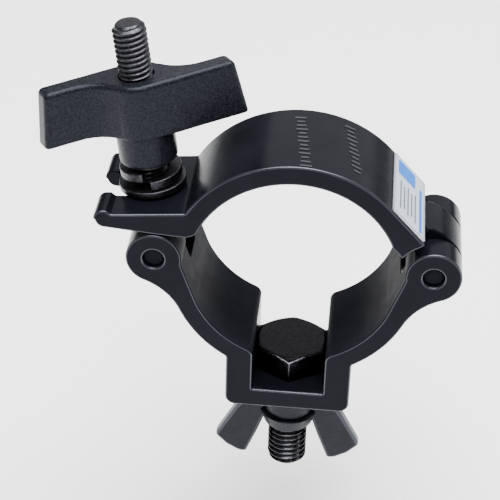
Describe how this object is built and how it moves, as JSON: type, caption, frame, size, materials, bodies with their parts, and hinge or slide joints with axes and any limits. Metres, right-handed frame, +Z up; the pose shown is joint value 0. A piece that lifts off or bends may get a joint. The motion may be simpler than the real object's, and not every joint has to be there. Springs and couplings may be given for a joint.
{
  "type": "pipe clamp",
  "caption": "Slim hinged pipe clamp for stage lighting: two jaws round a 48 mm tube, a swing bolt with a T-knob, and a bolt with a wing nut below for a fixture",
  "frame": {"origin": "On the axis of the clamped pipe, at the middle of the clamp's width", "axes": "+X runs from the swing bolt to the hinge, +Y runs along the pipe, +Z is up, away from the fixture bolt"},
  "size_m": [0.0991, 0.027, 0.1205],
  "materials": {
    "lower_jaw": "satin black anodised coat on extruded aluminium",
    "upper_jaw": "satin black anodised coat on extruded aluminium",
    "hinge_pin": "black oxide steel",
    "swing_pin": "black oxide steel",
    "eye_bolt": "black oxide steel, M8 thread",
    "flat_washer": "black oxide steel",
    "spring_washer": "black oxide spring steel",
    "knob_body": "fine-grained black nylon",
    "knob_insert": "turned brass thread bush",
    "mounting_bolt": "black oxide steel, M10 thread",
    "mounting_washer": "black oxide steel",
    "wing_nut": "black coated casting",
    "rating_label": null
  },
  "bodies": {
    "base": {"lower_jaw": "lower_jaw", "hinge_pin": "hinge_pin", "swing_pin": "swing_pin", "mounting_bolt": "mounting_bolt"},
    "jaw": {"upper_jaw": "upper_jaw", "rating_label": "rating_label"},
    "swing_bolt": {"eye_bolt": "eye_bolt"},
    "washers": {"flat_washer": "flat_washer", "spring_washer": "spring_washer"},
    "knob": {"knob_body": "knob_body", "knob_insert": "knob_insert"},
    "nut_washer": {"mounting_washer": "mounting_washer"},
    "nut": {"wing_nut": "wing_nut"}
  },
  "joints": [
    {"name": "jaw_open", "type": "hinge", "parent": "base", "child": "jaw", "pos_m": [0.0323, 0, 0.0018], "axis": [0, 1, 0], "range_deg": [0, 14]},
    {"name": "bolt_swing", "type": "hinge", "parent": "base", "child": "swing_bolt", "pos_m": [-0.0323, 0, 0.0018], "axis": [0, -1, 0], "range_deg": [0, 45]},
    {"name": "knob_travel", "type": "slide", "parent": "swing_bolt", "child": "washers", "axis": [-0.1323, 0, 0.9912], "range_m": [0, 0.03]},
    {"name": "knob_turn", "type": "hinge", "parent": "washers", "child": "knob", "pos_m": [-0.0323, 0, 0.0018], "axis": [-0.1323, 0, 0.9912], "range_deg": [0, 8640]},
    {"name": "nut_travel", "type": "slide", "parent": "base", "child": "nut_washer", "axis": [0, 0, -1], "range_m": [0, 0.018]},
    {"name": "nut_turn", "type": "hinge", "parent": "nut_washer", "child": "nut", "pos_m": [0, 0, -0.046], "axis": [0, 0, -1], "range_deg": [0, 4320]}
  ],
  "couplings": [
    {"joint": "knob_travel", "follows": "knob_turn", "m_per_rad": 0.00019894},
    {"joint": "bolt_swing", "follows": "knob_turn", "ratio": 0.0052083},
    {"joint": "jaw_open", "follows": "knob_turn", "ratio": 0.0016204},
    {"joint": "nut_travel", "follows": "nut_turn", "m_per_rad": 0.00023873}
  ]
}
